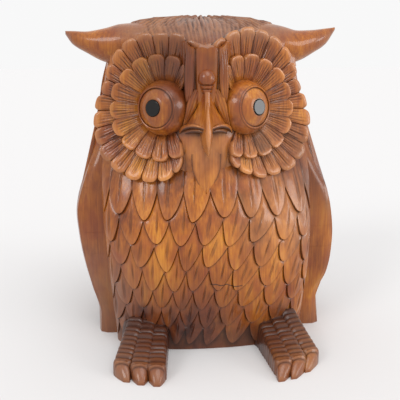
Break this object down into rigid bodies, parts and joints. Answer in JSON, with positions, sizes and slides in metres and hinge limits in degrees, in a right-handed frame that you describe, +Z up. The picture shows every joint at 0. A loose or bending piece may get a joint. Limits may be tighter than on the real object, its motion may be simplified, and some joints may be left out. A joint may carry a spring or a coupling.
{
  "type": "carved wooden owl",
  "caption": "Standing owl carved from a solid hardwood block, with horn-like ear tufts, petalled discs round bulging eyes, inlaid pupils, pointed breast feathers and ringed toes.",
  "frame": {"origin": "middle of the bounding box, at the height of the flat underside", "axes": "+Z is up, the owl faces -Y, and +X is its left side"},
  "size_m": [0.2534, 0.2193, 0.3],
  "materials": {
    "stained_wood": "orange-brown stain under semi-gloss lacquer, darker in the cuts and on the feet",
    "pupil_inlay": "flat polished black"
  },
  "bodies": {
    "root": {"carved_owl": "stained_wood", "left_pupil": "pupil_inlay", "right_pupil": "pupil_inlay"}
  },
  "joints": []
}
